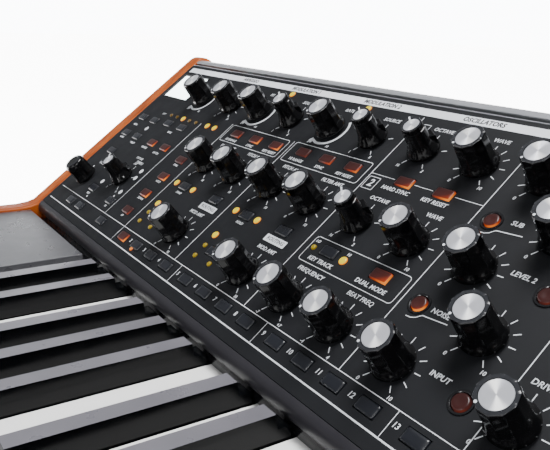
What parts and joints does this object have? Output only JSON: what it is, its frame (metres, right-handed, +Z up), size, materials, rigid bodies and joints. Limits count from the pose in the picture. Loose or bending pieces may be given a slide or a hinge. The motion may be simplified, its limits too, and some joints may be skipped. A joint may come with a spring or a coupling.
{
  "type": "synthesizer",
  "caption": "Keyboard synthesizer with wooden cheeks, a sloped panel of knobs, buttons and faders, two wheels, hinged keys and rear sockets.",
  "frame": {"origin": "centre of the footprint on the surface the feet stand on", "axes": "+X along the keyboard to the right, +Y to the rear, +Z up"},
  "size_m": [0.676, 0.37, 0.1754],
  "materials": {
    "oiled_wood": "oiled open grain, satin",
    "black_steel": "fine-texture black paint",
    "panel_paint": "matte near-black powder coat with white print",
    "rail_paint": "satin dark grey",
    "shell_paint": "satin grey",
    "block_plastic": "satin black",
    "knob_black": "glossy black with a spun metal disc on top",
    "natural_plastic": "glossy white",
    "sharp_plastic": "glossy black",
    "button_black": "satin black, some lit from below",
    "wheel_rubber": "matte ribbed",
    "foot_rubber": "matte",
    "nickel": "nickel-plated rings on black bodies",
    "board_laminate": "green solder mask",
    "display_glass": "lit display behind a clear window",
    "zinc_steel": "zinc-plated sheet",
    "inlet_plastic": "black moulding"
  },
  "bodies": {
    "chassis": {"base_pan": "black_steel", "left_cheek": "oiled_wood", "right_cheek": "oiled_wood", "control_panel": "panel_paint", "front_lip": "rail_paint", "rear_shell": "shell_paint", "wheel_block": "block_plastic", "keybed_frame": "zinc_steel", "jack_board": "nickel", "mains_inlet": "inlet_plastic", "main_board": "board_laminate", "panel_board": "board_laminate", "power_supply": "zinc_steel", "display": "display_glass", "front_foot_strip": "foot_rubber", "rear_foot_strip": "foot_rubber"},
    "pitch_wheel": {"pitch_wheel": "wheel_rubber"},
    "modulation_wheel": {"modulation_wheel": "wheel_rubber"},
    "power_switch": {"power_switch": "inlet_plastic"},
    "low_naturals": {"low_naturals": "natural_plastic"},
    "middle_naturals": {"middle_naturals": "natural_plastic"},
    "high_naturals": {"high_naturals": "natural_plastic"},
    "low_sharps": {"low_sharps": "sharp_plastic"},
    "middle_sharps": {"middle_sharps": "sharp_plastic"},
    "high_sharps": {"high_sharps": "sharp_plastic"},
    "step_buttons": {"step_buttons": "button_black"},
    "preset_buttons": {"preset_buttons": "button_black"},
    "modulation_buttons": {"modulation_buttons": "button_black"},
    "oscillator_buttons": {"oscillator_buttons": "button_black"},
    "envelope_buttons": {"envelope_buttons": "button_black"},
    "envelope_faders": {"envelope_faders": "button_black"},
    "knob_value": {"knob_value": "knob_black"},
    "knob_tempo": {"knob_tempo": "knob_black"},
    "knob_glide": {"knob_glide": "knob_black"},
    "knob_lfo1_rate": {"knob_lfo1_rate": "knob_black"},
    "knob_lfo1_pitch": {"knob_lfo1_pitch": "knob_black"},
    "knob_lfo1_source": {"knob_lfo1_source": "knob_black"},
    "knob_lfo2_rate": {"knob_lfo2_rate": "knob_black"},
    "knob_lfo2_source": {"knob_lfo2_source": "knob_black"},
    "knob_osc1_octave": {"knob_osc1_octave": "knob_black"},
    "knob_osc1_wave": {"knob_osc1_wave": "knob_black"},
    "knob_mix_osc1": {"knob_mix_osc1": "knob_black"},
    "knob_mix_sub": {"knob_mix_sub": "knob_black"},
    "knob_lfo1_filter": {"knob_lfo1_filter": "knob_black"},
    "knob_lfo1_amount": {"knob_lfo1_amount": "knob_black"},
    "knob_lfo2_pitch": {"knob_lfo2_pitch": "knob_black"},
    "knob_lfo2_filter": {"knob_lfo2_filter": "knob_black"},
    "knob_osc2_octave": {"knob_osc2_octave": "knob_black"},
    "knob_osc2_wave": {"knob_osc2_wave": "knob_black"},
    "knob_mix_osc2": {"knob_mix_osc2": "knob_black"},
    "knob_mix_noise": {"knob_mix_noise": "knob_black"},
    "knob_lfo1_depth": {"knob_lfo1_depth": "knob_black"},
    "knob_lfo2_depth": {"knob_lfo2_depth": "knob_black"},
    "knob_osc2_tune": {"knob_osc2_tune": "knob_black"},
    "knob_osc2_beat": {"knob_osc2_beat": "knob_black"},
    "knob_mix_input": {"knob_mix_input": "knob_black"},
    "knob_drive": {"knob_drive": "knob_black"},
    "knob_resonance": {"knob_resonance": "knob_black"},
    "knob_cutoff": {"knob_cutoff": "knob_black"},
    "knob_volume": {"knob_volume": "knob_black"}
  },
  "joints": [
    {"name": "pitch_wheel_turn", "type": "hinge", "parent": "chassis", "child": "pitch_wheel", "pos_m": [-0.29, -0.105, 0.05], "axis": [1, 0, 0], "range_deg": [-30, 30], "stiffness_Nm_per_rad": 0.05},
    {"name": "modulation_wheel_turn", "type": "hinge", "parent": "chassis", "child": "modulation_wheel", "pos_m": [-0.24, -0.105, 0.05], "axis": [1, 0, 0], "range_deg": [-25, 50]},
    {"name": "power_switch_rock", "type": "hinge", "parent": "chassis", "child": "power_switch", "pos_m": [0.06, 0.18, 0.04], "axis": [1, 0, 0], "range_deg": [-14, 0]},
    {"name": "low_naturals_press", "type": "hinge", "parent": "chassis", "child": "low_naturals", "pos_m": [0, 0, 0.046], "axis": [1, 0, 0], "range_deg": [0, 3.2], "stiffness_Nm_per_rad": 4, "springref_deg": -14.32},
    {"name": "middle_naturals_press", "type": "hinge", "parent": "chassis", "child": "middle_naturals", "pos_m": [0, 0, 0.046], "axis": [1, 0, 0], "range_deg": [0, 3.2], "stiffness_Nm_per_rad": 4, "springref_deg": -14.32},
    {"name": "high_naturals_press", "type": "hinge", "parent": "chassis", "child": "high_naturals", "pos_m": [0, 0, 0.046], "axis": [1, 0, 0], "range_deg": [0, 3.2], "stiffness_Nm_per_rad": 4, "springref_deg": -14.32},
    {"name": "low_sharps_press", "type": "hinge", "parent": "chassis", "child": "low_sharps", "pos_m": [0, 0, 0.046], "axis": [1, 0, 0], "range_deg": [0, 3.2], "stiffness_Nm_per_rad": 2, "springref_deg": -14.32},
    {"name": "middle_sharps_press", "type": "hinge", "parent": "chassis", "child": "middle_sharps", "pos_m": [0, 0, 0.046], "axis": [1, 0, 0], "range_deg": [0, 3.2], "stiffness_Nm_per_rad": 2, "springref_deg": -14.32},
    {"name": "high_sharps_press", "type": "hinge", "parent": "chassis", "child": "high_sharps", "pos_m": [0, 0, 0.046], "axis": [1, 0, 0], "range_deg": [0, 3.2], "stiffness_Nm_per_rad": 2, "springref_deg": -14.32},
    {"name": "step_buttons_press", "type": "slide", "parent": "chassis", "child": "step_buttons", "axis": [0, 0.6157, -0.788], "range_m": [0, 0.0009], "stiffness_N_per_m": 200, "springref_m": -0.003},
    {"name": "preset_buttons_press", "type": "slide", "parent": "chassis", "child": "preset_buttons", "axis": [0, 0.6157, -0.788], "range_m": [0, 0.0009], "stiffness_N_per_m": 200, "springref_m": -0.003},
    {"name": "modulation_buttons_press", "type": "slide", "parent": "chassis", "child": "modulation_buttons", "axis": [0, 0.6157, -0.788], "range_m": [0, 0.0009], "stiffness_N_per_m": 200, "springref_m": -0.003},
    {"name": "oscillator_buttons_press", "type": "slide", "parent": "chassis", "child": "oscillator_buttons", "axis": [0, 0.6157, -0.788], "range_m": [0, 0.0009], "stiffness_N_per_m": 200, "springref_m": -0.003},
    {"name": "envelope_buttons_press", "type": "slide", "parent": "chassis", "child": "envelope_buttons", "axis": [0, 0.6157, -0.788], "range_m": [0, 0.0009], "stiffness_N_per_m": 200, "springref_m": -0.003},
    {"name": "envelope_faders_slide", "type": "slide", "parent": "chassis", "child": "envelope_faders", "axis": [0, 0.788, 0.6157], "range_m": [-0.013, 0.013]},
    {"name": "knob_value_turn", "type": "hinge", "parent": "chassis", "child": "knob_value", "pos_m": [-0.2973, 0.01282, 0.08939], "axis": [0, -0.6157, 0.788], "continuous": true},
    {"name": "knob_tempo_turn", "type": "hinge", "parent": "chassis", "child": "knob_tempo", "pos_m": [-0.2506, 0.02307, 0.0974], "axis": [0, -0.6157, 0.788], "range_deg": [-199, 101]},
    {"name": "knob_glide_turn", "type": "hinge", "parent": "chassis", "child": "knob_glide", "pos_m": [-0.2565, 0.09044, 0.15004], "axis": [0, -0.6157, 0.788], "range_deg": [-293, 7]},
    {"name": "knob_lfo1_rate_turn", "type": "hinge", "parent": "chassis", "child": "knob_lfo1_rate", "pos_m": [-0.215, 0.09044, 0.15004], "axis": [0, -0.6157, 0.788], "range_deg": [-293, 7]},
    {"name": "knob_lfo1_pitch_turn", "type": "hinge", "parent": "chassis", "child": "knob_lfo1_pitch", "pos_m": [-0.179, 0.09044, 0.15004], "axis": [0, -0.6157, 0.788], "range_deg": [-293, 7]},
    {"name": "knob_lfo1_source_turn", "type": "hinge", "parent": "chassis", "child": "knob_lfo1_source", "pos_m": [-0.143, 0.09044, 0.15004], "axis": [0, -0.6157, 0.788], "range_deg": [-199, 101]},
    {"name": "knob_lfo2_rate_turn", "type": "hinge", "parent": "chassis", "child": "knob_lfo2_rate", "pos_m": [-0.1045, 0.09044, 0.15004], "axis": [0, -0.6157, 0.788], "range_deg": [-293, 7]},
    {"name": "knob_lfo2_source_turn", "type": "hinge", "parent": "chassis", "child": "knob_lfo2_source", "pos_m": [-0.0683, 0.09044, 0.15004], "axis": [0, -0.6157, 0.788], "range_deg": [-199, 101]},
    {"name": "knob_osc1_octave_turn", "type": "hinge", "parent": "chassis", "child": "knob_osc1_octave", "pos_m": [-0.031, 0.09044, 0.15004], "axis": [0, -0.6157, 0.788], "range_deg": [-199, 101]},
    {"name": "knob_osc1_wave_turn", "type": "hinge", "parent": "chassis", "child": "knob_osc1_wave", "pos_m": [0.0038, 0.09044, 0.15004], "axis": [0, -0.6157, 0.788], "range_deg": [-293, 7]},
    {"name": "knob_mix_osc1_turn", "type": "hinge", "parent": "chassis", "child": "knob_mix_osc1", "pos_m": [0.0398, 0.09044, 0.15004], "axis": [0, -0.6157, 0.788], "range_deg": [-293, 7]},
    {"name": "knob_mix_sub_turn", "type": "hinge", "parent": "chassis", "child": "knob_mix_sub", "pos_m": [0.063, 0.07074, 0.13464], "axis": [0, -0.6157, 0.788], "range_deg": [-293, 7]},
    {"name": "knob_lfo1_filter_turn", "type": "hinge", "parent": "chassis", "child": "knob_lfo1_filter", "pos_m": [-0.176, 0.05104, 0.11925], "axis": [0, -0.6157, 0.788], "range_deg": [-293, 7]},
    {"name": "knob_lfo1_amount_turn", "type": "hinge", "parent": "chassis", "child": "knob_lfo1_amount", "pos_m": [-0.143, 0.05104, 0.11925], "axis": [0, -0.6157, 0.788], "range_deg": [-293, 7]},
    {"name": "knob_lfo2_pitch_turn", "type": "hinge", "parent": "chassis", "child": "knob_lfo2_pitch", "pos_m": [-0.1045, 0.05104, 0.11925], "axis": [0, -0.6157, 0.788], "range_deg": [-293, 7]},
    {"name": "knob_lfo2_filter_turn", "type": "hinge", "parent": "chassis", "child": "knob_lfo2_filter", "pos_m": [-0.0683, 0.05104, 0.11925], "axis": [0, -0.6157, 0.788], "range_deg": [-293, 7]},
    {"name": "knob_osc2_octave_turn", "type": "hinge", "parent": "chassis", "child": "knob_osc2_octave", "pos_m": [-0.031, 0.05104, 0.11925], "axis": [0, -0.6157, 0.788], "range_deg": [-199, 101]},
    {"name": "knob_osc2_wave_turn", "type": "hinge", "parent": "chassis", "child": "knob_osc2_wave", "pos_m": [0.0038, 0.05104, 0.11925], "axis": [0, -0.6157, 0.788], "range_deg": [-293, 7]},
    {"name": "knob_mix_osc2_turn", "type": "hinge", "parent": "chassis", "child": "knob_mix_osc2", "pos_m": [0.0398, 0.05104, 0.11925], "axis": [0, -0.6157, 0.788], "range_deg": [-293, 7]},
    {"name": "knob_mix_noise_turn", "type": "hinge", "parent": "chassis", "child": "knob_mix_noise", "pos_m": [0.063, 0.03166, 0.10411], "axis": [0, -0.6157, 0.788], "range_deg": [-293, 7]},
    {"name": "knob_lfo1_depth_turn", "type": "hinge", "parent": "chassis", "child": "knob_lfo1_depth", "pos_m": [-0.143, 0.01164, 0.08847], "axis": [0, -0.6157, 0.788], "range_deg": [-293, 7]},
    {"name": "knob_lfo2_depth_turn", "type": "hinge", "parent": "chassis", "child": "knob_lfo2_depth", "pos_m": [-0.0683, 0.01164, 0.08847], "axis": [0, -0.6157, 0.788], "range_deg": [-293, 7]},
    {"name": "knob_osc2_tune_turn", "type": "hinge", "parent": "chassis", "child": "knob_osc2_tune", "pos_m": [-0.031, 0.01164, 0.08847], "axis": [0, -0.6157, 0.788], "range_deg": [-293, 7]},
    {"name": "knob_osc2_beat_turn", "type": "hinge", "parent": "chassis", "child": "knob_osc2_beat", "pos_m": [0.0038, 0.01164, 0.08847], "axis": [0, -0.6157, 0.788], "range_deg": [-293, 7]},
    {"name": "knob_mix_input_turn", "type": "hinge", "parent": "chassis", "child": "knob_mix_input", "pos_m": [0.0398, 0.01164, 0.08847], "axis": [0, -0.6157, 0.788], "range_deg": [-293, 7]},
    {"name": "knob_drive_turn", "type": "hinge", "parent": "chassis", "child": "knob_drive", "pos_m": [0.092, 0.01361, 0.09001], "axis": [0, -0.6157, 0.788], "range_deg": [-293, 7]},
    {"name": "knob_resonance_turn", "type": "hinge", "parent": "chassis", "child": "knob_resonance", "pos_m": [0.136, 0.04474, 0.11433], "axis": [0, -0.6157, 0.788], "range_deg": [-293, 7]},
    {"name": "knob_cutoff_turn", "type": "hinge", "parent": "chassis", "child": "knob_cutoff", "pos_m": [0.112, 0.08099, 0.14265], "axis": [0, -0.6157, 0.788], "range_deg": [-293, 7]},
    {"name": "knob_volume_turn", "type": "hinge", "parent": "chassis", "child": "knob_volume", "pos_m": [0.299, 0.08099, 0.14265], "axis": [0, -0.6157, 0.788], "range_deg": [-293, 7]}
  ]
}
